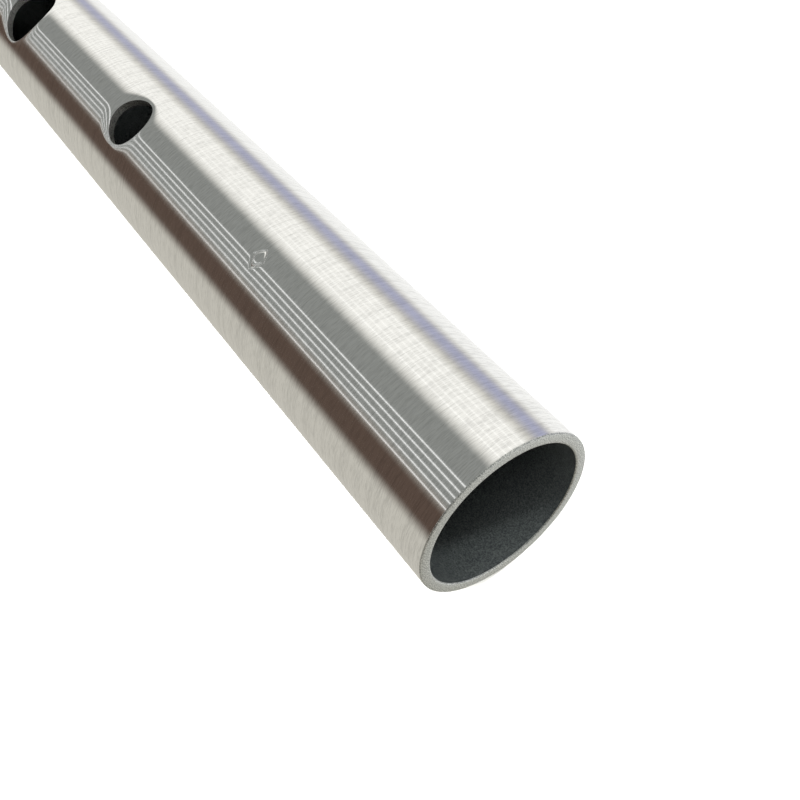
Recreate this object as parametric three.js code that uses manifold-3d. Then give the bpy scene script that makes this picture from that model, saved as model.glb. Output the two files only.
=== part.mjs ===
// A tunable low D tin whistle, lying on its back along X with the finger holes up.
// Every size is in millimetres. Along the tube, x is counted from the foot, the open end,
// and the last lines move the finished whistle so that its origin is under its middle.

import * as THREE from 'three';
import { mergeVertices } from 'three/addons/utils/BufferGeometryUtils.js';
import Module from 'manifold-3d';

const wasm = await Module();
wasm.setup();

// Tube stock: one inch outside, about a sixteenth of an inch thick.
const TUBE_RADIUS = 12.7;
const WALL = 1.5;
const BORE_RADIUS = TUBE_RADIUS - WALL;
const TOTAL_LENGTH = 592;

// The body and the head meet here, with a hairline between them when the joint is closed.
const JOINT_X = 430;
const JOINT_GAP = 0.3;

// Finger holes on one line along the top, counted from the foot.
const FINGER_HOLES = [
  { x: 92.2, diameter: 9.0 },
  { x: 142.3, diameter: 12.1 },
  { x: 167.6, diameter: 8.6 },
  { x: 216.2, diameter: 11.0 },
  { x: 257.6, diameter: 11.4 },
  { x: 299.7, diameter: 9.4 },
];

// Brass tuning sleeve, fixed in the head and sliding in the body.
const SLEEVE_RADIUS = 11.1;
const SLEEVE_BORE_RADIUS = 9.8;
const SLEEVE_IN_BODY = 34;
const SLEEVE_IN_HEAD = 30;
const GROOVE_RADIUS = 10.3;
const GROOVE_WIDTH = 1.7;
const GROOVE_PLACES = [JOINT_X - 29, JOINT_X - 20];

// Rubber rings, squeezed between the groove and the bore.
const RING_OUTER_RADIUS = 11.13;
const RING_INNER_RADIUS = 10.36;
const RING_WIDTH = 1.3;

// Mouthpiece: a slot through the tube's wall is the windway, the block is its floor
// and the windway sleeve is its roof. The blade faces it across the window.
const WINDWAY_WIDTH = 13;
const BLADE_X = 549;
const BLOCK_X = 556;
const BLADE_EDGE_RADIUS = 11.7;
const RAMP_LENGTH = 13;
const BLOCK_RADIUS = 11.1;
const ROOF_RADIUS = 12.85;
const ROOF_OUTER_RADIUS = 14.2;
const ROOF_CHAMFER = 0.8;

// Beak: a slanted cut takes away the underside of the mouth end.
const BEAK_START_X = 553;
const BEAK_TIP_Z = 2;

// Grub screws, one from each side, hold the windway sleeve and the block.
const SCREW_X = 570;
const SCREW_RADIUS = 1.5;
const SCREW_HOLE_RADIUS = 1.6;
const SCREW_OUTER_Y = 13.9;
const SCREW_LENGTH = 4.5;
const SOCKET_RADIUS = 0.85;
const SOCKET_DEPTH = 1.5;

const EDGE_CHAMFER = 0.2;
const LEAD_IN = 0.5;
const SIDES = 48;
const HOLE_SIDES = 32;
const MARGIN = 4;

const aluminium = { color: 0xb9bbb8, roughness: 0.3, metalness: 1 };
const brass = { color: 0xc9a658, roughness: 0.3, metalness: 1 };
const rubber = { color: 0x17181a, roughness: 0.7, metalness: 0 };
const acetal = { color: 0x1b1c1e, roughness: 0.45, metalness: 0 };
const blackSteel = { color: 0x2b2c2e, roughness: 0.4, metalness: 1 };

function solidOf(geometry) {
  geometry.deleteAttribute('normal');
  geometry.deleteAttribute('uv');
  const merged = mergeVertices(geometry, 1e-5);
  return new wasm.Manifold(new wasm.Mesh({
    numProp: 3,
    vertProperties: new Float32Array(merged.attributes.position.array),
    triVerts: new Uint32Array(merged.index.array),
  }));
}

function meshOf(name, solid, finish) {
  const { vertProperties, triVerts } = solid.getMesh();
  const geometry = new THREE.BufferGeometry();
  geometry.setAttribute('position', new THREE.BufferAttribute(vertProperties, 3));
  geometry.setIndex(new THREE.BufferAttribute(triVerts, 1));
  geometry.computeVertexNormals();
  const mesh = new THREE.Mesh(geometry, new THREE.MeshStandardMaterial(finish));
  mesh.name = name;
  return mesh;
}

// A solid of revolution about the tube's axis. The outline is a closed list of
// [radius, x] corners, and half a side of turn puts a flat at the very bottom.
function turned(outline) {
  const points = outline.map(([radius, x]) => new THREE.Vector2(radius, x));
  points.push(points[0].clone());
  const geometry = new THREE.LatheGeometry(points, SIDES, Math.PI / SIDES);
  geometry.rotateZ(-Math.PI / 2);
  return solidOf(geometry);
}

// The outline of a plain tube with both rims chamfered.
function tubeOutline(inner, outer, start, end, chamfer) {
  return [
    [inner, start + chamfer],
    [inner + chamfer, start],
    [outer - chamfer, start],
    [outer, start + chamfer],
    [outer, end - chamfer],
    [outer - chamfer, end],
    [inner + chamfer, end],
    [inner, end - chamfer],
  ];
}

function box(lowX, highX, width, lowZ, highZ) {
  const geometry = new THREE.BoxGeometry(highX - lowX, width, highZ - lowZ);
  geometry.translate((lowX + highX) / 2, 0, (lowZ + highZ) / 2);
  return solidOf(geometry);
}

// A drill standing in a finger hole, through the top wall only.
function holeDrill({ x, diameter }) {
  const height = TUBE_RADIUS + MARGIN;
  const geometry = new THREE.CylinderGeometry(diameter / 2, diameter / 2, height, HOLE_SIDES);
  geometry.rotateX(Math.PI / 2);
  geometry.translate(x, 0, height / 2);
  return solidOf(geometry);
}

// A drill along Y through both sides, for the two grub screws.
function screwDrill() {
  const length = 2 * (ROOF_OUTER_RADIUS + MARGIN);
  const geometry = new THREE.CylinderGeometry(SCREW_HOLE_RADIUS, SCREW_HOLE_RADIUS, length, 24);
  geometry.translate(SCREW_X, 0, 0);
  return solidOf(geometry);
}

// The wedge under the slanted underside of the beak.
function beakWedge() {
  const slope = (BEAK_TIP_Z + TUBE_RADIUS) / (TOTAL_LENGTH - BEAK_START_X);
  const lowZ = -ROOF_OUTER_RADIUS - MARGIN;
  const startX = BEAK_START_X + (lowZ + TUBE_RADIUS) / slope;
  const endX = TOTAL_LENGTH + MARGIN;
  const outline = new THREE.Shape([
    new THREE.Vector2(startX, lowZ),
    new THREE.Vector2(endX, lowZ),
    new THREE.Vector2(endX, BEAK_TIP_Z + MARGIN * slope),
  ]);
  const depth = 2 * (ROOF_OUTER_RADIUS + MARGIN);
  const geometry = new THREE.ExtrudeGeometry(outline, { depth, bevelEnabled: false });
  geometry.translate(0, 0, -depth / 2);
  geometry.rotateX(Math.PI / 2);
  return solidOf(geometry);
}

// The cutter for the blade's ramp: a cone about the tube's axis, as wide as the windway.
function rampCutter() {
  const rise = (TUBE_RADIUS - BLADE_EDGE_RADIUS) / RAMP_LENGTH;
  const cone = turned([
    [BLADE_EDGE_RADIUS, BLADE_X],
    [BLADE_EDGE_RADIUS + rise * (RAMP_LENGTH + MARGIN), BLADE_X - RAMP_LENGTH - MARGIN],
    [TUBE_RADIUS + MARGIN, BLADE_X - RAMP_LENGTH - MARGIN],
    [TUBE_RADIUS + MARGIN, BLADE_X],
  ]);
  const slot = box(BLADE_X - RAMP_LENGTH - 2 * MARGIN, BLADE_X + MARGIN, WINDWAY_WIDTH, 0,
    TUBE_RADIUS + 2 * MARGIN);
  return cone.intersect(slot);
}

function bodyTube() {
  const outline = [
    [BORE_RADIUS, EDGE_CHAMFER],
    [BORE_RADIUS + EDGE_CHAMFER, 0],
    [TUBE_RADIUS - EDGE_CHAMFER, 0],
    [TUBE_RADIUS, EDGE_CHAMFER],
    [TUBE_RADIUS, JOINT_X - EDGE_CHAMFER],
    [TUBE_RADIUS - EDGE_CHAMFER, JOINT_X],
    [BORE_RADIUS + LEAD_IN, JOINT_X],
    [BORE_RADIUS, JOINT_X - 2 * LEAD_IN],
  ];
  const tube = FINGER_HOLES.reduce((solid, hole) => solid.subtract(holeDrill(hole)), turned(outline));
  return meshOf('body_tube', tube, aluminium);
}

function tuningSleeve() {
  const start = JOINT_X - SLEEVE_IN_BODY;
  const end = JOINT_X + SLEEVE_IN_HEAD;
  const grooves = GROOVE_PLACES.flatMap((x) => [
    [SLEEVE_RADIUS, x - GROOVE_WIDTH / 2],
    [GROOVE_RADIUS, x - GROOVE_WIDTH / 2],
    [GROOVE_RADIUS, x + GROOVE_WIDTH / 2],
    [SLEEVE_RADIUS, x + GROOVE_WIDTH / 2],
  ]);
  const outline = [
    [SLEEVE_BORE_RADIUS, start],
    [SLEEVE_RADIUS - LEAD_IN, start],
    [SLEEVE_RADIUS, start + 2 * LEAD_IN],
    ...grooves,
    [SLEEVE_RADIUS, end],
    [SLEEVE_BORE_RADIUS, end],
  ];
  return meshOf('tuning_sleeve', turned(outline), brass);
}

function slideRing(name, x) {
  const half = RING_WIDTH / 2;
  const corner = (RING_OUTER_RADIUS - RING_INNER_RADIUS) / 4;
  const outline = tubeOutline(RING_INNER_RADIUS, RING_OUTER_RADIUS, x - half, x + half, corner);
  return meshOf(name, turned(outline), rubber);
}

function headTube() {
  const start = JOINT_X + JOINT_GAP;
  const windway = box(BLADE_X, TOTAL_LENGTH + MARGIN, WINDWAY_WIDTH, 0, TUBE_RADIUS + MARGIN);
  const tube = turned(tubeOutline(BORE_RADIUS, TUBE_RADIUS, start, TOTAL_LENGTH, EDGE_CHAMFER))
    .subtract(windway)
    .subtract(rampCutter())
    .subtract(screwDrill())
    .subtract(beakWedge());
  return meshOf('head_tube', tube, aluminium);
}

function fippleBlock() {
  const block = turned([
    [0, BLOCK_X],
    [BLOCK_RADIUS, BLOCK_X],
    [BLOCK_RADIUS, TOTAL_LENGTH],
    [0, TOTAL_LENGTH],
  ])
    .subtract(screwDrill())
    .subtract(beakWedge());
  return meshOf('fipple_block', block, acetal);
}

function windwaySleeve() {
  const sleeve = turned([
    [ROOF_RADIUS, BLOCK_X],
    [ROOF_OUTER_RADIUS - ROOF_CHAMFER, BLOCK_X],
    [ROOF_OUTER_RADIUS, BLOCK_X + ROOF_CHAMFER],
    [ROOF_OUTER_RADIUS, TOTAL_LENGTH - ROOF_CHAMFER],
    [ROOF_OUTER_RADIUS - ROOF_CHAMFER, TOTAL_LENGTH],
    [ROOF_RADIUS, TOTAL_LENGTH],
  ])
    .subtract(screwDrill())
    .subtract(beakWedge());
  return meshOf('windway_sleeve', sleeve, aluminium);
}

// side is +1 for the screw at +Y and -1 for the one at -Y.
function grubScrew(name, side) {
  const shank = new THREE.CylinderGeometry(SCREW_RADIUS, SCREW_RADIUS, SCREW_LENGTH, 24);
  shank.translate(SCREW_X, side * (SCREW_OUTER_Y - SCREW_LENGTH / 2), 0);
  const socket = new THREE.CylinderGeometry(SOCKET_RADIUS, SOCKET_RADIUS, 2 * SOCKET_DEPTH, 6);
  socket.translate(SCREW_X, side * SCREW_OUTER_Y, 0);
  return meshOf(name, solidOf(shank).subtract(solidOf(socket)), blackSteel);
}

const whistle = new THREE.Group();
whistle.add(
  bodyTube(),
  tuningSleeve(),
  slideRing('lower_slide_ring', GROOVE_PLACES[0]),
  slideRing('upper_slide_ring', GROOVE_PLACES[1]),
  headTube(),
  fippleBlock(),
  windwaySleeve(),
  grubScrew('left_grub_screw', 1),
  grubScrew('right_grub_screw', -1),
);

// The tube rests on a flat of its many-sided outline, so the floor is one apothem below the axis.
whistle.position.set(-TOTAL_LENGTH / 2, 0, TUBE_RADIUS * Math.cos(Math.PI / SIDES));

export default whistle;
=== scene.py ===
import math

import bmesh
import bpy
from mathutils import Euler, Matrix, Vector


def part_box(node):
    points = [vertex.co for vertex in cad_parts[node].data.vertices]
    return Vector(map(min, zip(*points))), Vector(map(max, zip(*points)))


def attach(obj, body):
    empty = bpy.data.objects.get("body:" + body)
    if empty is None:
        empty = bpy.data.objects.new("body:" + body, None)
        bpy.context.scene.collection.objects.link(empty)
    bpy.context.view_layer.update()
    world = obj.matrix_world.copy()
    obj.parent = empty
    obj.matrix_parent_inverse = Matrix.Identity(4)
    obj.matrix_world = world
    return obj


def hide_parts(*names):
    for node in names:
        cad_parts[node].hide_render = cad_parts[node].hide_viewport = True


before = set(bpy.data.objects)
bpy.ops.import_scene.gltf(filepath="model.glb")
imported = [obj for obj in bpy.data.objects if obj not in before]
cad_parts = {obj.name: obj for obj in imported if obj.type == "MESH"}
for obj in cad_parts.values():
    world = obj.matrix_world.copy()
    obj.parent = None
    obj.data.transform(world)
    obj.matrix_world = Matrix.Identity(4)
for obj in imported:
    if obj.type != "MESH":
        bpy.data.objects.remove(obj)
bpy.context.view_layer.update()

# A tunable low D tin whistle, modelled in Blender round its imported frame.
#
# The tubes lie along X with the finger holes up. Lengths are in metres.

bl_info = {
    "name": "Low whistle",
    "version": (1, 0, 0),
    "blender": (4, 5, 0),
    "location": "View3D > Sidebar > Whistle",
    "description": "Builds a tunable low whistle piece by piece, with its materials and a small studio",
    "category": "Object",
}

MM = 0.001

# Places along the tube, from the frame. The foot is the open end, the mouth is at +X.
BODY_LOW, BODY_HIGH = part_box("body_tube")
HEAD_LOW, HEAD_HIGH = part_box("head_tube")
SLEEVE_LOW, SLEEVE_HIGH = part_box("tuning_sleeve")
ROOF_LOW, ROOF_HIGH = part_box("windway_sleeve")
BLOCK_LOW, BLOCK_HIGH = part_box("fipple_block")
FOOT_X = BODY_LOW.x
AXIS_Z = (BODY_LOW.z + BODY_HIGH.z) / 2

# Distances back from the mouth: the screws, where the beak's slant starts, and the blade.
SCREWS_FROM_MOUTH = 22 * MM
BEAK_FROM_MOUTH = 39 * MM
BLADE_FROM_MOUTH = 43 * MM

# Finger holes: distance from the foot and drill size.
FINGER_HOLES = [
    (92.2 * MM, 9.0 * MM),
    (142.3 * MM, 12.1 * MM),
    (167.6 * MM, 8.6 * MM),
    (216.2 * MM, 11.0 * MM),
    (257.6 * MM, 11.4 * MM),
    (299.7 * MM, 9.4 * MM),
]

# The tube is drawn with this many sides. Those across the top form the patches for the holes.
PATCH_SIDES = 24
PATCH_REACH = 8.0 * MM
PATCH_LENGTH = 9.6 * MM
REST_SIDES = 88
AROUND = 144
CLOSE = 0.002 * MM


# ---------------------------------------------------------------- sizes and colours

class WhistleSizes(bpy.types.PropertyGroup):
    """Sizes of the whistle's pieces."""

    tube_radius: bpy.props.FloatProperty(
        name="Tube radius", description="Outside radius of both tubes",
        default=12.7 * MM, unit="LENGTH")
    wall: bpy.props.FloatProperty(
        name="Wall", description="Thickness of the tubes", default=1.5 * MM, unit="LENGTH")
    edge_round: bpy.props.FloatProperty(
        name="Edge rounding", description="Width of the broken edge on the tubes' ends",
        default=0.22 * MM, unit="LENGTH")
    dish_length: bpy.props.FloatProperty(
        name="Dish length", description="How far a finger hole's eased rim reaches along the tube",
        default=2.8 * MM, unit="LENGTH")
    dish_breadth: bpy.props.FloatProperty(
        name="Dish breadth", description="How far a finger hole's eased rim reaches round the tube",
        default=0.8 * MM, unit="LENGTH")
    dish_depth: bpy.props.FloatProperty(
        name="Dish depth", description="How far the rim of a finger hole is eased down",
        default=0.3 * MM, unit="LENGTH")
    mark_place: bpy.props.FloatProperty(
        name="Mark place", description="Distance of the punched lozenge from the foot",
        default=47.2 * MM, unit="LENGTH")
    mark_length: bpy.props.FloatProperty(
        name="Mark length", description="Half size of the lozenge along the tube",
        default=1.15 * MM, unit="LENGTH")
    mark_breadth: bpy.props.FloatProperty(
        name="Mark breadth", description="Half size of the lozenge round the tube",
        default=1.5 * MM, unit="LENGTH")
    mark_depth: bpy.props.FloatProperty(
        name="Mark depth", description="Depth of the punched line", default=0.1 * MM, unit="LENGTH")
    windway_width: bpy.props.FloatProperty(
        name="Windway width", description="Width of the windway and the window",
        default=13.0 * MM, unit="LENGTH")


class WhistleColours(bpy.types.PropertyGroup):
    """Colours of the finishes, as sRGB values."""

    aluminium: bpy.props.StringProperty(
        name="Aluminium", description="Brushed aluminium, sRGB hex", default="F1F1F0")
    cut_aluminium: bpy.props.StringProperty(
        name="Cut aluminium", description="Deburred ends and edges, sRGB hex", default="E4E6E2")
    bore: bpy.props.StringProperty(
        name="Bore", description="The oxide inside the tubes, sRGB hex", default="4C514F")
    brass: bpy.props.StringProperty(
        name="Brass", description="Turned brass, sRGB hex", default="DDB667")
    rubber: bpy.props.StringProperty(
        name="Rubber", description="Nitrile rubber, sRGB hex", default="1C1C1E")
    acetal: bpy.props.StringProperty(
        name="Acetal", description="Black acetal, sRGB hex", default="18191B")
    steel: bpy.props.StringProperty(
        name="Steel", description="Black oxide on steel, sRGB hex", default="2D2E31")
    floor: bpy.props.StringProperty(
        name="Floor", description="The studio's paper floor, sRGB hex", default="F7F7F5")


def sizes():
    return bpy.context.scene.whistle_sizes


def colours():
    return bpy.context.scene.whistle_colours


# ---------------------------------------------------------------- modelling by hand

def deselect_all():
    for thing in bpy.context.selected_objects:
        thing.select_set(False)


def edit(thing):
    """Makes the object active on its own and enters edit mode."""
    deselect_all()
    thing.select_set(True)
    bpy.context.view_layer.objects.active = thing
    bpy.ops.object.mode_set(mode="EDIT")


def leave_edit():
    bpy.ops.object.mode_set(mode="OBJECT")


def choose(kind, test):
    """In edit mode, selects only the vertices, edges or faces that pass the test."""
    bpy.ops.mesh.select_mode(type=kind)
    bpy.ops.mesh.select_all(action="DESELECT")
    mesh = bmesh.from_edit_mesh(bpy.context.edit_object.data)
    for element in {"VERT": mesh.verts, "EDGE": mesh.edges, "FACE": mesh.faces}[kind]:
        if test(element):
            element.select_set(True)
    mesh.select_flush_mode()
    bmesh.update_edit_mesh(bpy.context.edit_object.data)


def middle(element):
    """The middle of an edge or a face."""
    if isinstance(element, bmesh.types.BMFace):
        return element.calc_center_median()
    return (element.verts[0].co + element.verts[1].co) / 2


def radius_at(point):
    return math.hypot(point.y, point.z - AXIS_Z)


def angle_at(point):
    """The angle round the tube from its top, towards -Y."""
    return math.atan2(-point.y, point.z - AXIS_Z)


def circle(name, x, radius, sides, turn=0.0):
    """Adds an open circle square to the tube, with its place in its mesh."""
    deselect_all()
    bpy.ops.mesh.primitive_circle_add(
        vertices=sides, radius=radius, location=(x, 0, AXIS_Z), rotation=(0, math.pi / 2, 0))
    ring = bpy.context.active_object
    ring.name = name
    bpy.ops.object.transform_apply(location=True, rotation=True, scale=True)
    if turn:
        ring.data.transform(
            Matrix.Translation((0, 0, AXIS_Z)) @ Matrix.Rotation(turn, 4, "X")
            @ Matrix.Translation((0, 0, -AXIS_Z)))
    return ring


def draw_out(x_from, r_from, x_to, r_to):
    """In edit mode, extrudes the selected circle to the next station of a profile."""
    bpy.ops.mesh.extrude_edges_move()
    if r_to != r_from:
        bpy.ops.transform.resize(value=(1, r_to / r_from, r_to / r_from),
                                 center_override=(x_from, 0, AXIS_Z))
    if x_to != x_from:
        bpy.ops.transform.translate(value=(x_to - x_from, 0, 0))


def turned(name, profile, sides=AROUND, spread=None):
    """A turned ring: a circle drawn round the profile's (x, radius) stations back to its start."""
    ring = circle(name, profile[0][0], profile[0][1], sides)
    if spread:
        spread(ring)
    edit(ring)
    bpy.ops.mesh.select_all(action="SELECT")
    for (x_from, r_from), (x_to, r_to) in zip(profile, profile[1:] + profile[:1]):
        draw_out(x_from, r_from, x_to, r_to)
    bpy.ops.mesh.select_all(action="SELECT")
    bpy.ops.mesh.remove_doubles(threshold=CLOSE)
    bpy.ops.mesh.normals_make_consistent(inside=False)
    leave_edit()
    return ring


def turned_plug(name, profile, sides=AROUND):
    """A turned solid: as turned, with a flat face filled in at each end."""
    plug = circle(name, profile[0][0], profile[0][1], sides)
    edit(plug)
    bpy.ops.mesh.select_all(action="SELECT")
    for (x_from, r_from), (x_to, r_to) in zip(profile, profile[1:]):
        draw_out(x_from, r_from, x_to, r_to)
    for end in (profile[0][0], profile[-1][0]):
        choose("EDGE", lambda edge: edge.is_boundary and abs(middle(edge).x - end) < 1e-6)
        bpy.ops.mesh.edge_face_add()
    bpy.ops.mesh.select_all(action="SELECT")
    bpy.ops.mesh.normals_make_consistent(inside=False)
    leave_edit()
    return plug


def block(name, low, high):
    """A box from its lowest to its highest corner, for cutting."""
    deselect_all()
    low, high = Vector(low), Vector(high)
    bpy.ops.mesh.primitive_cube_add(size=1, location=(low + high) / 2, scale=high - low)
    bpy.ops.object.transform_apply(location=True, rotation=True, scale=True)
    bpy.context.active_object.name = name
    return bpy.context.active_object


def rod(name, radius, depth, place, rotation, sides=48):
    """A round bar, for cutting holes."""
    deselect_all()
    bpy.ops.mesh.primitive_cylinder_add(
        vertices=sides, radius=radius, depth=depth, location=place, rotation=rotation)
    bpy.ops.object.transform_apply(location=True, rotation=True, scale=True)
    bpy.context.active_object.name = name
    return bpy.context.active_object


def add_modifier(thing, kind, **settings):
    """Adds a modifier with its settings and applies it."""
    deselect_all()
    thing.select_set(True)
    bpy.context.view_layer.objects.active = thing
    modifier = thing.modifiers.new(kind.lower(), kind)
    for key, value in settings.items():
        setattr(modifier, key, value)
    bpy.ops.object.modifier_apply(modifier=modifier.name)


def cut(thing, cutter, operation="DIFFERENCE"):
    add_modifier(thing, "BOOLEAN", object=cutter, operation=operation, solver="EXACT")
    bpy.data.objects.remove(cutter)


def break_edges(thing, width, segments=3):
    """Rounds every edge sharper than 30 degrees."""
    add_modifier(thing, "BEVEL", width=width, segments=segments, limit_method="ANGLE",
                 angle_limit=math.radians(30), harden_normals=False)


def close_seams(thing):
    """Merges the doubles that the cuts and bevels leave, so that the skin is closed."""
    deselect_all()
    thing.select_set(True)
    bpy.context.view_layer.objects.active = thing
    bpy.ops.object.mode_set(mode="EDIT")
    bpy.ops.mesh.select_all(action="SELECT")
    bpy.ops.mesh.remove_doubles(threshold=CLOSE)
    bpy.ops.mesh.dissolve_degenerate(threshold=CLOSE)
    bpy.ops.mesh.delete_loose()
    bpy.ops.mesh.select_all(action="SELECT")
    bpy.ops.mesh.normals_make_consistent(inside=False)
    bpy.ops.object.mode_set(mode="OBJECT")


def smooth(thing, angle=35):
    deselect_all()
    thing.select_set(True)
    bpy.context.view_layer.objects.active = thing
    bpy.ops.object.shade_smooth_by_angle(angle=math.radians(angle))


def wrap_uv(thing):
    """A UV map in metres: u runs along the tube, and v runs round it from the bottom."""
    layer = thing.data.uv_layers.new(name="wrap").data
    half_turn = math.pi
    for face in thing.data.polygons:
        centre = angle_at(face.center)
        for loop in face.loop_indices:
            point = thing.data.vertices[thing.data.loops[loop].vertex_index].co
            turn = angle_at(point)
            if turn - centre > half_turn:
                turn -= 2 * half_turn
            if centre - turn > half_turn:
                turn += 2 * half_turn
            layer[loop].uv = (point.x - FOOT_X, (turn + half_turn) * sizes().tube_radius)


def paint(thing, materials, pick=None):
    """Gives the piece its materials; pick says which of them a face takes."""
    thing.data.materials.clear()
    for material in materials:
        thing.data.materials.append(material)
    for face in thing.data.polygons:
        face.material_index = pick(face) if pick else 0


def true_round_normals(thing, radius, tolerance, eased=None):
    """Sets exact normals where a face lies on the tube's outside, so that reflections run true.

    eased, where given, is the depth of the surface under the true cylinder at (x, arc).
    """
    mesh = thing.data
    step = 0.004 * MM
    custom = [Vector((0, 0, 0))] * len(mesh.loops)
    for face in mesh.polygons:
        if any(abs(radius_at(mesh.vertices[v].co) - radius) > tolerance for v in face.vertices):
            continue
        out = Vector((0, face.center.y, face.center.z - AXIS_Z)).normalized()
        if face.normal.dot(out) < 0.7:
            continue
        for loop in face.loop_indices:
            point = mesh.vertices[mesh.loops[loop].vertex_index].co
            outward = Vector((0, point.y, point.z - AXIS_Z)).normalized()
            if eased:
                round_way = Vector((0, -outward.z, outward.y))
                arc = angle_at(point) * radius
                fall_x = (eased(point.x + step, arc) - eased(point.x - step, arc)) / (2 * step)
                fall_arc = (eased(point.x, arc + step) - eased(point.x, arc - step)) / (2 * step)
                outward = outward + fall_x * Vector((1, 0, 0)) + fall_arc * round_way
                outward.normalize()
            custom[loop] = outward
    mesh.normals_split_custom_set(custom)


def put_on(thing, body, node):
    """The finished piece rides on its body and stands for its CAD node."""
    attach(thing, body)
    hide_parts(node)


# ---------------------------------------------------------------- surface of the body

def dish(x_off, y_off, hole_radius):
    """How far the rim of a finger hole is eased down, at an offset from the hole's centre.

    The rim was rubbed down along the tube, so the dish is longer than it is broad.
    """
    from_centre = math.hypot(x_off, y_off)
    if from_centre < 0.1 * MM:
        return sizes().dish_depth
    along = (x_off / from_centre) ** 2
    across = 1 - along
    reach = math.sqrt(sizes().dish_length ** 2 * along + sizes().dish_breadth ** 2 * across)
    share = 1 - max(from_centre - hole_radius, 0.0) / reach
    if share <= 0:
        return 0.0
    return sizes().dish_depth * (along + 0.7 * across) * share ** 2.3


# The punched lozenge: how square its corners are, half the width of its line, and the depth
# and reach of the dent about it.
MARK_CORNERS = 1.3
MARK_STROKE = 0.24 * MM
DENT_DEPTH = 0.016 * MM
DENT_REACH = 2.2 * MM


def punched_mark(x, arc):
    """Depth of the punched lozenge: its line, in the shallow dent that the blow leaves."""
    along = abs(x - FOOT_X - sizes().mark_place) / sizes().mark_length
    across = abs(arc) / sizes().mark_breadth
    away = math.hypot(x - FOOT_X - sizes().mark_place, arc)
    dent = DENT_DEPTH * math.exp(-(away / DENT_REACH) ** 2)
    reach = (along ** MARK_CORNERS + across ** MARK_CORNERS) ** (1 / MARK_CORNERS)
    if reach < 0.05 or reach > 2.2:
        return dent
    side = math.hypot(along / sizes().mark_length, across / sizes().mark_breadth) / reach
    off_line = abs(reach - 1) / side
    return dent + sizes().mark_depth * math.exp(-(off_line / MARK_STROKE) ** 2)


def eased_depth(x, arc):
    """Depth of the body's surface under the true cylinder."""
    radius = sizes().tube_radius
    if abs(arc) > radius:
        return 0.0
    across = radius * math.sin(arc / radius)
    depth = 0.0
    for place, drill in FINGER_HOLES:
        if abs(x - FOOT_X - place) < PATCH_LENGTH:
            depth += dish(x - FOOT_X - place, across, drill / 2)
    if abs(x - FOOT_X - sizes().mark_place) < 6 * MM and abs(arc) < 6 * MM:
        depth += punched_mark(x, arc)
    return depth


# ---------------------------------------------------------------- the body tube

def patch_half_angle():
    return math.asin(PATCH_REACH / sizes().tube_radius)


def spread_sides(ring):
    """Moves the circle's vertices round it: close together over the top, wider elsewhere."""
    half = patch_half_angle()
    radius = radius_at(ring.data.vertices[0].co)
    for index, vertex in enumerate(ring.data.vertices):
        if index <= PATCH_SIDES:
            turn = half - 2 * half * index / PATCH_SIDES
        else:
            turn = -half - (2 * math.pi - 2 * half) * (index - PATCH_SIDES) / REST_SIDES
        vertex.co = (FOOT_X, -radius * math.sin(turn), AXIS_Z + radius * math.cos(turn))


def tube_stations():
    """Places of the rings along the body: close together past each hole, wide apart between."""
    stations = {FOOT_X, BODY_HIGH.x}
    mark = FOOT_X + sizes().mark_place
    for step in range(-9, 10):
        stations.add(mark + step * 0.65 * MM)
    for place, _ in FINGER_HOLES:
        for step in range(PATCH_SIDES + 1):
            stations.add(FOOT_X + place - PATCH_LENGTH + 2 * PATCH_LENGTH * step / PATCH_SIDES)
    ordered = sorted(stations)
    filled = []
    for here, there in zip(ordered, ordered[1:]):
        count = max(1, round((there - here) / (14 * MM)))
        filled += [here + (there - here) * k / count for k in range(count)]
    return filled + [ordered[-1]]


def from_hole(point, place):
    return math.hypot(point.x - FOOT_X - place, point.y)


def in_a_patch(point):
    if abs(angle_at(point)) > patch_half_angle():
        return False
    return any(abs(point.x - FOOT_X - place) < PATCH_LENGTH for place, _ in FINGER_HOLES)


def lay_hole(place, drill):
    """In edit mode, fills the two openings at a finger hole with rings that close in on its edge.

    The rings are laid level over the tube, the outside's highest, and seated on it afterwards.
    """
    centre = (FOOT_X + place, 0, AXIS_Z)
    radius = drill / 2
    offsets = [0.0, 0.03, 0.07, 0.12, 0.2, 0.3, 0.42, 0.56, 0.72, 0.9, 1.1, 1.35, 1.65, 2.0, 2.4]
    offsets = [each * MM for each in offsets if radius + each * MM < PATCH_REACH - 0.3 * MM]
    rings = [radius + each for each in reversed(offsets)]
    bpy.ops.mesh.select_mode(type="VERT")
    bpy.ops.mesh.select_all(action="DESELECT")
    bpy.ops.mesh.primitive_circle_add(vertices=4 * PATCH_SIDES, radius=rings[0],
                                      location=(centre[0], 0, AXIS_Z + 20 * MM))
    for here, there in zip(rings, rings[1:]):
        bpy.ops.mesh.extrude_edges_move()
        bpy.ops.transform.resize(value=(there / here, there / here, 1), center_override=centre)
    bpy.ops.mesh.extrude_edges_move()
    bpy.ops.transform.translate(value=(0, 0, -4 * MM))
    bpy.ops.mesh.extrude_edges_move()
    inner = radius + 0.25 * MM
    bpy.ops.transform.resize(value=(inner / radius, inner / radius, 1), center_override=centre)

    wall_middle = sizes().tube_radius - sizes().wall / 2

    def on_loop(edge, outside):
        if not edge.is_boundary:
            return False
        point = middle(edge)
        if point.z > AXIS_Z + 14 * MM:
            return from_hole(point, place) < PATCH_REACH and (
                point.z > AXIS_Z + 18 * MM) == outside
        return abs(point.x - FOOT_X - place) < PATCH_LENGTH + CLOSE and point.z > AXIS_Z and (
            radius_at(point) > wall_middle) == outside

    choose("EDGE", lambda edge: on_loop(edge, True))
    bpy.ops.mesh.bridge_edge_loops(number_cuts=3, interpolation="LINEAR")
    choose("EDGE", lambda edge: on_loop(edge, False))
    bpy.ops.mesh.bridge_edge_loops()


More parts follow.
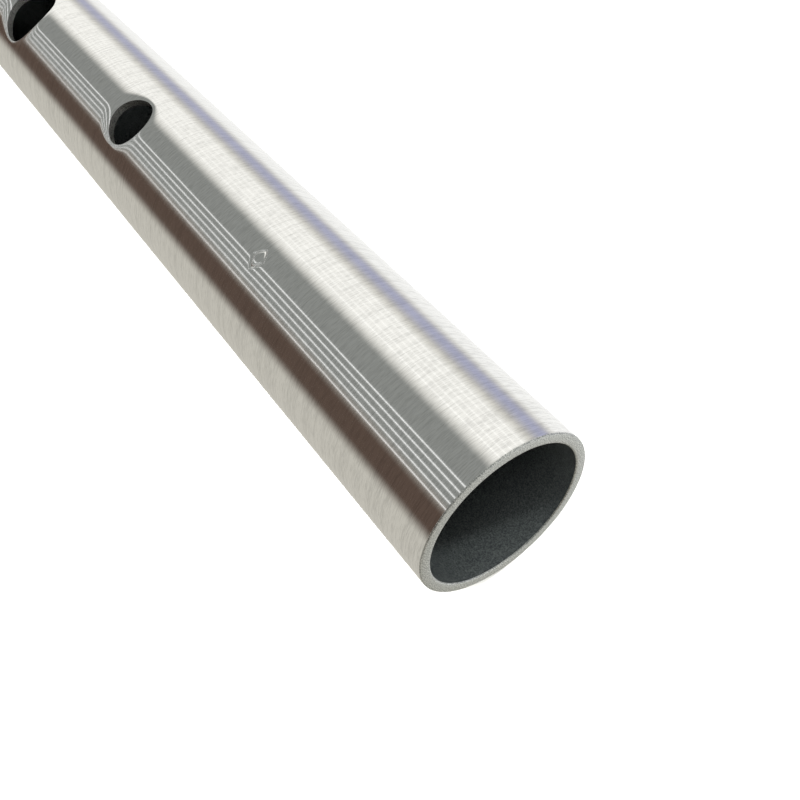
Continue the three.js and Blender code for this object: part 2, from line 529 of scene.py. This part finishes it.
def seat_holes(tube):
    """Drops the level rings straight down onto the outside or the bore, and eases the outside."""
    radius = sizes().tube_radius
    bore = radius - sizes().wall
    for vertex in tube.data.vertices:
        point = vertex.co
        if point.z < AXIS_Z or abs(point.y) > PATCH_REACH + CLOSE:
            continue
        if radius_at(point) < bore + CLOSE:
            continue
        in_hole = any(from_hole(point, place) < drill / 2 + 0.3 * MM
                      for place, drill in FINGER_HOLES)
        if in_hole and point.z < AXIS_Z + 18 * MM:
            point.z = AXIS_Z + math.sqrt(bore ** 2 - point.y ** 2)
            continue
        surface = radius - eased_depth(point.x, -math.asin(point.y / radius) * radius)
        point.z = AXIS_Z + math.sqrt(surface ** 2 - point.y ** 2)
    tube.data.update()


def round_tube_ends(tube):
    """In edit mode, breaks the edges of both ends."""
    ends = (FOOT_X, BODY_HIGH.x)
    choose("EDGE", lambda edge: all(
        min(abs(vertex.co.x - end) for end in ends) < CLOSE for vertex in edge.verts)
        and abs(radius_at(edge.verts[0].co) - radius_at(edge.verts[1].co)) < CLOSE)
    bpy.ops.mesh.bevel(offset=sizes().edge_round, segments=4, affect="EDGES")


def make_body_tube():
    radius = sizes().tube_radius
    bore = radius - sizes().wall
    stations = tube_stations()
    profile = [(x, radius) for x in stations] + [(x, bore) for x in reversed(stations)]
    tube = turned("body_tube_brushed", profile, PATCH_SIDES + REST_SIDES, spread_sides)
    edit(tube)
    choose("FACE", lambda face: in_a_patch(face.calc_center_median()))
    bpy.ops.mesh.delete(type="FACE")
    for place, drill in FINGER_HOLES:
        lay_hole(place, drill)
    mark = FOOT_X + sizes().mark_place
    choose("FACE", lambda face: abs(middle(face).x - mark) < 2.6 * MM
           and abs(angle_at(middle(face))) < patch_half_angle() * 0.34
           and radius_at(middle(face)) > radius - 0.2 * MM)
    bpy.ops.mesh.subdivide(number_cuts=9)
    leave_edit()
    seat_holes(tube)
    edit(tube)
    bpy.ops.mesh.select_all(action="SELECT")
    bpy.ops.mesh.normals_make_consistent(inside=False)
    round_tube_ends(tube)
    leave_edit()
    return tube


class WHISTLE_OT_body_tube(bpy.types.Operator):
    """Makes the body: a brushed tube with six dished finger holes and a punched mark"""

    bl_idname = "whistle.body_tube"
    bl_label = "Body tube"

    def execute(self, context):
        tube = make_body_tube()
        radius = sizes().tube_radius
        bore = radius - sizes().wall
        ends = (FOOT_X + sizes().edge_round * 1.02, BODY_HIGH.x - sizes().edge_round * 1.02)

        def finish_of(face):
            spots = [tube.data.vertices[v].co for v in face.vertices]
            if min(radius_at(spot) for spot in spots) > radius - sizes().dish_depth - 0.02 * MM:
                if all(ends[0] < spot.x < ends[1] for spot in spots):
                    return 0
                return 0 if face.center.x > ends[0] and face.center.x < ends[1] else 1
            if max(radius_at(spot) for spot in spots) < bore + 0.01 * MM:
                return 2
            return 1

        smooth(tube, 40)
        true_round_normals(tube, radius, sizes().dish_depth + 0.05 * MM, eased_depth)
        wrap_uv(tube)
        paint(tube, [brushed_aluminium(), cut_aluminium(), drawn_bore()], finish_of)
        put_on(tube, "body", "body_tube")
        return {"FINISHED"}


# ---------------------------------------------------------------- the head and its pieces

def slice_beak(thing):
    """Cuts the underside of the mouth end away on a slant."""
    start = Vector((HEAD_HIGH.x - BEAK_FROM_MOUTH, 0, AXIS_Z - sizes().tube_radius))
    tip = Vector((HEAD_HIGH.x, 0, AXIS_Z + 2 * MM))
    slope = math.atan2(tip.z - start.z, tip.x - start.x)
    below = 15 * MM
    deselect_all()
    bpy.ops.mesh.primitive_cube_add(
        size=1, scale=(120 * MM, 40 * MM, 2 * below), rotation=(0, -slope, 0),
        location=(start.x + below * math.sin(slope), 0, start.z - below * math.cos(slope)))
    bpy.ops.object.transform_apply(location=True, rotation=True, scale=True)
    cut(thing, bpy.context.active_object)


def screw_x():
    return HEAD_HIGH.x - SCREWS_FROM_MOUTH


def drill_screw_holes(thing):
    cut(thing, rod("drill", 1.55 * MM, 40 * MM, (screw_x(), 0, AXIS_Z), (math.pi / 2, 0, 0)))


def ramp_cutter():
    """What is milled away in front of the blade: a shallow cone, as wide as the windway."""
    radius = sizes().tube_radius
    blade = HEAD_HIGH.x - BLADE_FROM_MOUTH
    edge = radius - 1.0 * MM
    rise = (radius - edge) / (13 * MM)
    far = blade - 17 * MM
    past = blade + 2 * MM
    cone = turned("ramp", [
        (past, edge - rise * 2 * MM), (far, edge + rise * 17 * MM), (far, radius + 3 * MM),
        (past, radius + 3 * MM)])
    half = sizes().windway_width / 2
    slot = block("slot", (far - 1 * MM, -half, AXIS_Z), (blade + 1 * MM, half, AXIS_Z + 20 * MM))
    cut(cone, slot, "INTERSECT")
    return cone


class WHISTLE_OT_head_tube(bpy.types.Operator):
    """Makes the head: a brushed tube with the window, the blade's ramp and the windway's slot"""

    bl_idname = "whistle.head_tube"
    bl_label = "Head tube"

    def execute(self, context):
        radius = sizes().tube_radius
        bore = radius - sizes().wall
        start, end = HEAD_LOW.x, HEAD_HIGH.x
        half = sizes().windway_width / 2
        blade = end - BLADE_FROM_MOUTH
        # Rings beside the cuts, so that no facet carries a cut's edge far along the tube.
        rings = [blade - 15 * MM, blade - 2 * MM, screw_x() - 3 * MM, screw_x() + 3 * MM]
        head = turned("head_tube_brushed", [
            (start, bore), (start, radius), *((x, radius) for x in rings), (end, radius),
            (end, bore), *((x, bore) for x in reversed(rings))])
        cut(head, ramp_cutter())
        cut(head, block("slot", (blade, -half, AXIS_Z), (end + 5 * MM, half, AXIS_Z + 20 * MM)))
        drill_screw_holes(head)
        slice_beak(head)
        break_edges(head, 0.1 * MM, 2)
        close_seams(head)
        smooth(head)
        true_round_normals(head, radius, 0.004 * MM)
        wrap_uv(head)

        def finish_of(face):
            out = Vector((0, face.center.y, face.center.z - AXIS_Z)).normalized()
            if face.normal.dot(out) > 0.97 and radius_at(face.center) > radius - 0.03 * MM:
                return 0
            reach = [radius_at(head.data.vertices[v].co) for v in face.vertices]
            return 2 if max(reach) < bore + 0.002 * MM and face.normal.x ** 2 < 0.1 else 1

        paint(head, [brushed_aluminium(), cut_aluminium(), drawn_bore()], finish_of)
        put_on(head, "head", "head_tube")
        return {"FINISHED"}


class WHISTLE_OT_tuning_sleeve(bpy.types.Operator):
    """Makes the brass tuning sleeve with its two ring grooves"""

    bl_idname = "whistle.tuning_sleeve"
    bl_label = "Tuning sleeve"

    def execute(self, context):
        outer, inner, groove = 11.1 * MM, 9.8 * MM, 10.3 * MM
        start, end = SLEEVE_LOW.x, SLEEVE_HIGH.x
        profile = [(start, inner), (start, outer - 0.5 * MM), (start + 1 * MM, outer)]
        for ring in ("lower_slide_ring", "upper_slide_ring"):
            low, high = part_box(ring)
            profile += [(low.x - 0.2 * MM, outer), (low.x - 0.2 * MM, groove),
                        (high.x + 0.2 * MM, groove), (high.x + 0.2 * MM, outer)]
        profile += [(end, outer), (end, inner)]
        sleeve = turned("tuning_sleeve_turned", profile)
        break_edges(sleeve, 0.08 * MM, 2)
        smooth(sleeve)
        wrap_uv(sleeve)
        paint(sleeve, [turned_brass()])
        put_on(sleeve, "head", "tuning_sleeve")
        return {"FINISHED"}


class WHISTLE_OT_slide_rings(bpy.types.Operator):
    """Makes the two rubber rings, flattened a little by their groove and the bore"""

    bl_idname = "whistle.slide_rings"
    bl_label = "Slide rings"

    def execute(self, context):
        for node in ("lower_slide_ring", "upper_slide_ring"):
            low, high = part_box(node)
            middle_x = (low.x + high.x) / 2
            section = (11.12 - 10.36) / 2 * MM
            centre = (11.12 + 10.36) / 2 * MM
            profile = []
            for step in range(20):
                turn = 2 * math.pi * step / 20
                bulge = abs(math.sin(turn)) ** 0.7 * math.copysign(1, math.sin(turn))
                profile.append((middle_x - math.cos(turn) * (high.x - low.x) / 2,
                                centre + section * bulge))
            ring = turned(node + "_rubber", profile)
            smooth(ring, 60)
            wrap_uv(ring)
            paint(ring, [nitrile_rubber()])
            put_on(ring, "slide_rings", node)
        return {"FINISHED"}


class WHISTLE_OT_fipple_block(bpy.types.Operator):
    """Makes the acetal block, the floor of the windway and the underside of the beak"""

    bl_idname = "whistle.fipple_block"
    bl_label = "Fipple block"

    def execute(self, context):
        radius = 11.1 * MM
        start, end = BLOCK_LOW.x, BLOCK_HIGH.x
        plug = turned_plug("fipple_block_machined", [(start, radius), (end, radius)])
        drill_screw_holes(plug)
        slice_beak(plug)
        break_edges(plug, 0.15 * MM)
        smooth(plug)
        wrap_uv(plug)
        paint(plug, [machined_acetal()])
        put_on(plug, "head", "fipple_block")
        return {"FINISHED"}


class WHISTLE_OT_windway_sleeve(bpy.types.Operator):
    """Makes the sleeve that roofs the windway"""

    bl_idname = "whistle.windway_sleeve"
    bl_label = "Windway sleeve"

    def execute(self, context):
        inner, outer, chamfer = 12.82 * MM, 14.2 * MM, 0.8 * MM
        start, end = ROOF_LOW.x, ROOF_HIGH.x
        sleeve = turned("windway_sleeve_brushed", [
            (start, inner), (start, outer - chamfer), (start + chamfer, outer),
            (end - chamfer, outer), (end, outer - chamfer), (end, inner)])
        drill_screw_holes(sleeve)
        slice_beak(sleeve)
        break_edges(sleeve, 0.12 * MM)
        smooth(sleeve)
        true_round_normals(sleeve, outer, 0.001 * MM)
        wrap_uv(sleeve)

        def finish_of(face):
            out = Vector((0, face.center.y, face.center.z - AXIS_Z)).normalized()
            return 0 if face.normal.dot(out) > 0.9 else 1

        paint(sleeve, [brushed_aluminium(), cut_aluminium()], finish_of)
        put_on(sleeve, "head", "windway_sleeve")
        return {"FINISHED"}


class WHISTLE_OT_grub_screws(bpy.types.Operator):
    """Makes the two grub screws with their hexagon sockets"""

    bl_idname = "whistle.grub_screws"
    bl_label = "Grub screws"

    def execute(self, context):
        for node in ("left_grub_screw", "right_grub_screw"):
            low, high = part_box(node)
            side = 1 if low.y > 0 else -1
            outer_y = high.y if side > 0 else low.y
            upright = (math.pi / 2, 0, 0)
            screw = rod(node + "_black", 1.5 * MM, high.y - low.y,
                        ((low.x + high.x) / 2, (low.y + high.y) / 2, AXIS_Z), upright, 48)
            cut(screw, rod("key", 0.87 * MM, 3.0 * MM, (screw_x(), outer_y, AXIS_Z), upright, 6))
            break_edges(screw, 0.12 * MM)
            smooth(screw)
            wrap_uv(screw)
            paint(screw, [black_oxide_steel()])
            put_on(screw, "head", node)
        return {"FINISHED"}


# ---------------------------------------------------------------- materials

def linear(hex_colour):
    """An sRGB hex colour as linear red, green, blue and alpha."""
    values = [int(hex_colour[k:k + 2], 16) / 255 for k in (0, 2, 4)]
    return [v / 12.92 if v <= 0.04045 else ((v + 0.055) / 1.055) ** 2.4 for v in values] + [1.0]


def add(tree, kind, settings=None, links=None):
    """Adds a node, sets its properties or sockets, and links its inputs to other outputs."""
    node = tree.nodes.new(kind)
    for key, value in (settings or {}).items():
        if isinstance(key, str) and hasattr(node, key):
            setattr(node, key, value)
        else:
            node.inputs[key].default_value = value
    for key, output in (links or {}).items():
        tree.links.new(output, node.inputs[key])
    return node


def new_material(name):
    """A fresh node material: its tree, its shader and the material itself."""
    known = bpy.data.materials.get(name)
    if known:
        return known, None, None
    material = bpy.data.materials.new(name)
    material.use_nodes = True
    tree = material.node_tree
    return material, tree, tree.nodes["Principled BSDF"]


def wrapped(tree, along, around):
    """The wrap map, scaled so that one unit is the given size along and round the tube."""
    uv = add(tree, "ShaderNodeUVMap", {"uv_map": "wrap"})
    return add(tree, "ShaderNodeMapping", {"Scale": (1 / along, 1 / around, 1)},
               {"Vector": uv.outputs["UV"]}).outputs["Vector"]


def brushed_aluminium():
    """Extruded aluminium tube, brushed by spinning it against an abrasive: reflections stay
    crisp round the tube and smear along it, under fine scratches that run round it."""
    material, tree, shader = new_material("brushed_aluminium")
    if tree is None:
        return material
    scratches = add(tree, "ShaderNodeTexNoise", {"Scale": 1.0, "Detail": 3.0, "Roughness": 0.6},
                    {"Vector": wrapped(tree, 0.18 * MM, 1.5 * MM)})
    strokes = add(tree, "ShaderNodeTexNoise", {"Scale": 1.0, "Detail": 2.0},
                  {"Vector": wrapped(tree, 0.5 * MM, 20 * MM)})
    both = add(tree, "ShaderNodeMath", {"operation": "MULTIPLY_ADD", 1: 0.6},
               {0: strokes.outputs["Fac"], 2: scratches.outputs["Fac"]})
    shade = add(tree, "ShaderNodeMapRange", {3: -0.8, 4: 1.2}, {0: both.outputs[0]})
    tint = add(tree, "ShaderNodeMix", {"data_type": "RGBA", 6: linear("C9C9C8"),
                                       7: linear(colours().aluminium)},
               {0: shade.outputs[0]})
    bump = add(tree, "ShaderNodeBump", {"Strength": 0.12, "Distance": 0.002 * MM},
               {"Height": scratches.outputs["Fac"]})
    tangent = add(tree, "ShaderNodeTangent", {"direction_type": "UV_MAP", "uv_map": "wrap"})
    shader.inputs["Metallic"].default_value = 1.0
    shader.inputs["Anisotropic"].default_value = 0.89
    tree.links.new(tint.outputs[2], shader.inputs["Base Color"])
    rough = add(tree, "ShaderNodeMapRange", {3: 0.08, 4: 0.1}, {0: both.outputs[0]})
    tree.links.new(rough.outputs[0], shader.inputs["Roughness"])
    tree.links.new(bump.outputs["Normal"], shader.inputs["Normal"])
    tree.links.new(tangent.outputs["Tangent"], shader.inputs["Tangent"])
    return material


def cut_aluminium():
    """Aluminium faced off on the lathe and deburred by hand: an even light grey satin."""
    material, tree, shader = new_material("faced_aluminium")
    if tree is None:
        return material
    place = add(tree, "ShaderNodeTexCoord")
    grain = add(tree, "ShaderNodeTexNoise", {"Scale": 1 / (0.16 * MM), "Detail": 3.0},
                {"Vector": place.outputs["Object"]})
    shade = add(tree, "ShaderNodeMapRange", {3: -1.4, 4: 2.4}, {0: grain.outputs["Fac"]})
    tint = add(tree, "ShaderNodeMix", {"data_type": "RGBA", 6: linear("9A9D9C"),
                                       7: linear(colours().cut_aluminium)},
               {0: shade.outputs[0]})
    bump = add(tree, "ShaderNodeBump", {"Strength": 0.6, "Distance": 0.02 * MM},
               {"Height": grain.outputs["Fac"]})
    shader.inputs["Metallic"].default_value = 1.0
    tree.links.new(tint.outputs[2], shader.inputs["Base Color"])
    rough = add(tree, "ShaderNodeMapRange", {3: 0.4, 4: 0.6}, {0: grain.outputs["Fac"]})
    tree.links.new(rough.outputs[0], shader.inputs["Roughness"])
    tree.links.new(bump.outputs["Normal"], shader.inputs["Normal"])
    return material


def drawn_bore():
    """The inside of the tube as it was drawn, under a dark oxide: dull, with a fine grit."""
    material, tree, shader = new_material("oxidised_bore")
    if tree is None:
        return material
    place = add(tree, "ShaderNodeTexCoord")
    grit = add(tree, "ShaderNodeTexNoise", {"Scale": 1 / (0.22 * MM), "Detail": 3.0,
                                            "Roughness": 0.8},
               {"Vector": place.outputs["Object"]})
    shade = add(tree, "ShaderNodeMapRange", {3: -1.2, 4: 2.0}, {0: grit.outputs["Fac"]})
    tint = add(tree, "ShaderNodeMix", {"data_type": "RGBA", 6: linear("15191D"),
                                       7: linear(colours().bore)},
               {0: shade.outputs[0]})
    bump = add(tree, "ShaderNodeBump", {"Strength": 0.5, "Distance": 0.03 * MM},
               {"Height": grit.outputs["Fac"]})
    shader.inputs["Metallic"].default_value = 0.2
    tree.links.new(tint.outputs[2], shader.inputs["Base Color"])
    rough = add(tree, "ShaderNodeMapRange", {3: 0.45, 4: 0.65}, {0: grit.outputs["Fac"]})
    tree.links.new(rough.outputs[0], shader.inputs["Roughness"])
    tree.links.new(bump.outputs["Normal"], shader.inputs["Normal"])
    return material


def turned_brass():
    """Leaded brass turned on a lathe: warm metal with fine rings from the tool."""
    material, tree, shader = new_material("turned_brass")
    if tree is None:
        return material
    rings = add(tree, "ShaderNodeTexNoise", {"Scale": 1.0, "Detail": 3.0},
                {"Vector": wrapped(tree, 0.12 * MM, 60 * MM)})
    shade = add(tree, "ShaderNodeMapRange", {3: 0.0, 4: 1.4}, {0: rings.outputs["Fac"]})
    tint = add(tree, "ShaderNodeMix", {"data_type": "RGBA", 6: linear("B98F45"),
                                       7: linear(colours().brass)},
               {0: shade.outputs[0]})
    bump = add(tree, "ShaderNodeBump", {"Strength": 0.3, "Distance": 0.004 * MM},
               {"Height": rings.outputs["Fac"]})
    shader.inputs["Metallic"].default_value = 1.0
    tree.links.new(tint.outputs[2], shader.inputs["Base Color"])
    rough = add(tree, "ShaderNodeMapRange", {3: 0.18, 4: 0.3}, {0: rings.outputs["Fac"]})
    tree.links.new(rough.outputs[0], shader.inputs["Roughness"])
    tree.links.new(bump.outputs["Normal"], shader.inputs["Normal"])
    return material


def nitrile_rubber():
    """Moulded nitrile rubber: near black, with a soft bloom."""
    material, tree, shader = new_material("nitrile_rubber")
    if tree is None:
        return material
    place = add(tree, "ShaderNodeTexCoord")
    bloom = add(tree, "ShaderNodeTexNoise", {"Scale": 1 / (1.5 * MM), "Detail": 3.0},
                {"Vector": place.outputs["Object"]})
    tint = add(tree, "ShaderNodeMix", {"data_type": "RGBA", 6: linear(colours().rubber),
                                       7: linear("2B2B2D")},
               {0: bloom.outputs["Fac"]})
    tree.links.new(tint.outputs[2], shader.inputs["Base Color"])
    rough = add(tree, "ShaderNodeMapRange", {3: 0.45, 4: 0.65}, {0: bloom.outputs["Fac"]})
    tree.links.new(rough.outputs[0], shader.inputs["Roughness"])
    return material


def machined_acetal():
    """Black acetal rod, machined: a waxy dark surface with faint tool marks."""
    material, tree, shader = new_material("machined_acetal")
    if tree is None:
        return material
    marks = add(tree, "ShaderNodeTexNoise", {"Scale": 1.0, "Detail": 3.0},
                {"Vector": wrapped(tree, 0.2 * MM, 30 * MM)})
    tint = add(tree, "ShaderNodeMix", {"data_type": "RGBA", 6: linear(colours().acetal),
                                       7: linear("26272A")},
               {0: marks.outputs["Fac"]})
    bump = add(tree, "ShaderNodeBump", {"Strength": 0.3, "Distance": 0.01 * MM},
               {"Height": marks.outputs["Fac"]})
    tree.links.new(tint.outputs[2], shader.inputs["Base Color"])
    rough = add(tree, "ShaderNodeMapRange", {3: 0.3, 4: 0.45}, {0: marks.outputs["Fac"]})
    tree.links.new(rough.outputs[0], shader.inputs["Roughness"])
    tree.links.new(bump.outputs["Normal"], shader.inputs["Normal"])
    return material


def black_oxide_steel():
    """Alloy steel under black oxide: dark, slightly oily and worn towards grey."""
    material, tree, shader = new_material("black_oxide_steel")
    if tree is None:
        return material
    place = add(tree, "ShaderNodeTexCoord")
    wear = add(tree, "ShaderNodeTexNoise", {"Scale": 1 / (0.6 * MM), "Detail": 4.0},
               {"Vector": place.outputs["Object"]})
    tint = add(tree, "ShaderNodeMix", {"data_type": "RGBA", 6: linear(colours().steel),
                                       7: linear("4A4B4E")},
               {0: wear.outputs["Fac"]})
    shader.inputs["Metallic"].default_value = 1.0
    tree.links.new(tint.outputs[2], shader.inputs["Base Color"])
    rough = add(tree, "ShaderNodeMapRange", {3: 0.3, 4: 0.5}, {0: wear.outputs["Fac"]})
    tree.links.new(rough.outputs[0], shader.inputs["Roughness"])
    return material


def paper_floor():
    """Matt studio paper: white, with the faintest tooth."""
    material, tree, shader = new_material("matt_paper")
    if tree is None:
        return material
    place = add(tree, "ShaderNodeTexCoord")
    tooth = add(tree, "ShaderNodeTexNoise", {"Scale": 1 / (0.8 * MM), "Detail": 2.0},
                {"Vector": place.outputs["Object"]})
    tint = add(tree, "ShaderNodeMix", {"data_type": "RGBA", 6: linear("F4F4F2"),
                                       7: linear(colours().floor)},
               {0: tooth.outputs["Fac"]})
    shader.inputs["Roughness"].default_value = 0.9
    shader.inputs["Specular IOR Level"].default_value = 0.1
    tree.links.new(tint.outputs[2], shader.inputs["Base Color"])
    return material


# ---------------------------------------------------------------- the studio

# A plain pale room, in which a few cards and one softbox run the length of the whistle. Each
# has its middle and its half width, as turns in degrees from straight above, and its colour.
ROOM_COLOUR = "BAB7AE"
GREY_CARD = (-5, 35, "858784")
DARK_CARD = (-60, 20, "54463E")
SOFTBOX = (55, 25, "ECEBE6")
COOL_CARD = (100, 10, "A4A6BC")
PALE_CARD = (150, 35, "EDEDEB")
CARDS = (GREY_CARD, DARK_CARD, SOFTBOX, COOL_CARD, PALE_CARD)
CARD_EDGE = 10
ROOM_STRENGTH = 1.2

# Two banks of strip tubes, evenly spaced: before the left of the grey card, and in the
# softbox. Each has its middle, its half width and its strength.
TUBE_SPACING = 8
TUBE_BANKS = ((-24, 20, 0.8), (55, 20, 0.2))
TUBE_SHARPNESS = 12

# The camera's stand over the foot's middle: above it, past the foot, and swung round the tube.
# Its own turn is in degrees and its lens in millimetres.
CAMERA_HEIGHT = 96.7 * MM
CAMERA_BACK = 41.4 * MM
CAMERA_ROUND = 1.9
CAMERA_TURN = (25.78, 22.15, -128.31)
CAMERA_LENS = 38.95

# A wide soft light overhead, and a smaller key light past the foot that reaches into the bore.
OVERHEAD_WAY = (0.15, 0, 1)
OVERHEAD_POWER = 6
OVERHEAD_SPREAD = 90
KEY_FROM_FOOT = (-0.3, -0.9, 0.75)
KEY_BREADTH = 0.12
KEY_POWER = 12
FLOOR_SIZE = 12


def within(tree, turn, middle, half_width, edge):
    """How far a turn is inside a card: 1 on it, 0 off it, and soft at its edges."""
    off = add(tree, "ShaderNodeMath", {"operation": "SUBTRACT", 1: math.radians(middle)}, {0: turn})
    away = add(tree, "ShaderNodeMath", {"operation": "ABSOLUTE"}, {0: off.outputs[0]})
    inside = add(tree, "ShaderNodeMapRange", {
        "interpolation_type": "SMOOTHSTEP", 1: math.radians(half_width - edge),
        2: math.radians(half_width + edge), 3: 1.0, 4: 0.0}, {0: away.outputs[0]})
    return inside.outputs[0]


def room_light():
    """The world: the pale room with its cards, softbox and strip tubes, for the metal to mirror."""
    world = bpy.data.worlds.new("studio_room")
    bpy.context.scene.world = world
    world.use_nodes = True
    tree = world.node_tree
    way = add(tree, "ShaderNodeTexCoord")
    parts = add(tree, "ShaderNodeSeparateXYZ", None, {0: way.outputs["Generated"]}).outputs
    side = add(tree, "ShaderNodeMath", {"operation": "MULTIPLY", 1: -1.0}, {0: parts["Y"]})
    turn = add(tree, "ShaderNodeMath", {"operation": "ARCTAN2"},
               {0: side.outputs[0], 1: parts["Z"]}).outputs[0]

    light = add(tree, "ShaderNodeRGB").outputs[0]
    light.default_value = linear(ROOM_COLOUR)
    for middle_turn, half_width, colour in CARDS:
        inside = within(tree, turn, middle_turn, half_width, CARD_EDGE)
        light = add(tree, "ShaderNodeMix", {"data_type": "RGBA", 7: linear(colour)},
                    {0: inside, 6: light}).outputs[2]

    waves = add(tree, "ShaderNodeMath", {"operation": "MULTIPLY", 1: 360 / TUBE_SPACING},
                {0: turn})
    wave = add(tree, "ShaderNodeMath", {"operation": "COSINE"}, {0: waves.outputs[0]})
    lifted = add(tree, "ShaderNodeMath", {"operation": "MULTIPLY_ADD", 1: 0.5, 2: 0.5},
                 {0: wave.outputs[0]})
    tube = add(tree, "ShaderNodeMath", {"operation": "POWER", 1: TUBE_SHARPNESS},
               {0: lifted.outputs[0]})
    for middle_turn, half_width, strength in TUBE_BANKS:
        bank = within(tree, turn, middle_turn, half_width, TUBE_SPACING / 4)
        shown = add(tree, "ShaderNodeMath", {"operation": "MULTIPLY"},
                    {0: tube.outputs[0], 1: bank})
        light = add(tree, "ShaderNodeMix", {"data_type": "RGBA", "blend_type": "ADD",
                                            7: (strength, strength, strength, 1)},
                    {0: shown.outputs[0], 6: light}).outputs[2]

    # Seen directly, the room is a plain white backdrop.
    seen = add(tree, "ShaderNodeLightPath").outputs["Is Camera Ray"]
    light = add(tree, "ShaderNodeMix", {"data_type": "RGBA", 7: linear("FFFFFD")},
                {0: seen, 6: light}).outputs[2]
    background = tree.nodes["Background"]
    background.inputs["Strength"].default_value = ROOM_STRENGTH
    tree.links.new(light, background.inputs["Color"])


def area_lamp(name, place, breadth, power):
    """A square lamp that looks at the foot and that the metal doesn't mirror."""
    deselect_all()
    aim = Vector((FOOT_X, 0, AXIS_Z)) - Vector(place)
    bpy.ops.object.light_add(type="AREA", location=place,
                             rotation=aim.to_track_quat("-Z", "Y").to_euler())
    lamp = bpy.context.active_object
    lamp.name = name
    lamp.data.size = breadth
    lamp.data.energy = power
    lamp.visible_glossy = False
    lamp.visible_camera = False


class WHISTLE_OT_studio(bpy.types.Operator):
    """Makes the floor, the light and the camera"""

    bl_idname = "whistle.studio"
    bl_label = "Studio"

    def execute(self, context):
        deselect_all()
        bpy.ops.mesh.primitive_plane_add(size=FLOOR_SIZE)
        floor = context.active_object
        floor.name = "floor"
        paint(floor, [paper_floor()])
        floor.visible_glossy = False
        room_light()

        bpy.ops.object.light_add(type="SUN")
        overhead = context.active_object
        overhead.name = "overhead_softbox"
        overhead.rotation_euler = Vector(OVERHEAD_WAY).to_track_quat("Z", "Y").to_euler()
        overhead.data.energy = OVERHEAD_POWER
        overhead.data.angle = math.radians(OVERHEAD_SPREAD)
        overhead.visible_glossy = False
        key_back, key_side, key_up = KEY_FROM_FOOT
        area_lamp("key_lamp", (FOOT_X + key_back, key_side, key_up), KEY_BREADTH, KEY_POWER)

        swing = Matrix.Rotation(math.radians(CAMERA_ROUND), 4, "X")
        stand = swing @ Vector((-CAMERA_BACK, 0, CAMERA_HEIGHT))
        look = Euler([math.radians(turn) for turn in CAMERA_TURN]).to_matrix().to_4x4()
        bpy.ops.object.camera_add(location=Vector((FOOT_X, 0, AXIS_Z)) + stand,
                                  rotation=(swing @ look).to_euler())
        camera = context.active_object
        camera.data.sensor_width = 36
        camera.data.lens = CAMERA_LENS
        camera.data.clip_start = 0.005
        context.scene.camera = camera
        context.scene.view_settings.view_transform = "Standard"
        return {"FINISHED"}


# ---------------------------------------------------------------- panel and registration

class WHISTLE_PT_panel(bpy.types.Panel):
    """Lists the whistle's pieces in the sidebar"""

    bl_label = "Low whistle"
    bl_idname = "WHISTLE_PT_panel"
    bl_space_type = "VIEW_3D"
    bl_region_type = "UI"
    bl_category = "Whistle"

    def draw(self, context):
        column = self.layout.column()
        for operator in PIECE_OPERATORS:
            column.operator(operator.bl_idname)
        for group in (context.scene.whistle_sizes, context.scene.whistle_colours):
            for name in group.__annotations__:
                column.prop(group, name)


PIECE_OPERATORS = (
    WHISTLE_OT_studio,
    WHISTLE_OT_body_tube,
    WHISTLE_OT_head_tube,
    WHISTLE_OT_tuning_sleeve,
    WHISTLE_OT_slide_rings,
    WHISTLE_OT_fipple_block,
    WHISTLE_OT_windway_sleeve,
    WHISTLE_OT_grub_screws,
)
CLASSES = (WhistleSizes, WhistleColours, *PIECE_OPERATORS, WHISTLE_PT_panel)


def register():
    for each in CLASSES:
        bpy.utils.register_class(each)
    bpy.types.Scene.whistle_sizes = bpy.props.PointerProperty(type=WhistleSizes)
    bpy.types.Scene.whistle_colours = bpy.props.PointerProperty(type=WhistleColours)


def unregister():
    del bpy.types.Scene.whistle_colours
    del bpy.types.Scene.whistle_sizes
    for each in reversed(CLASSES):
        bpy.utils.unregister_class(each)


def main():
    register()
    for operator in PIECE_OPERATORS:
        group, name = operator.bl_idname.split(".")
        getattr(getattr(bpy.ops, group), name)()


if __name__ == "__main__":
    main()
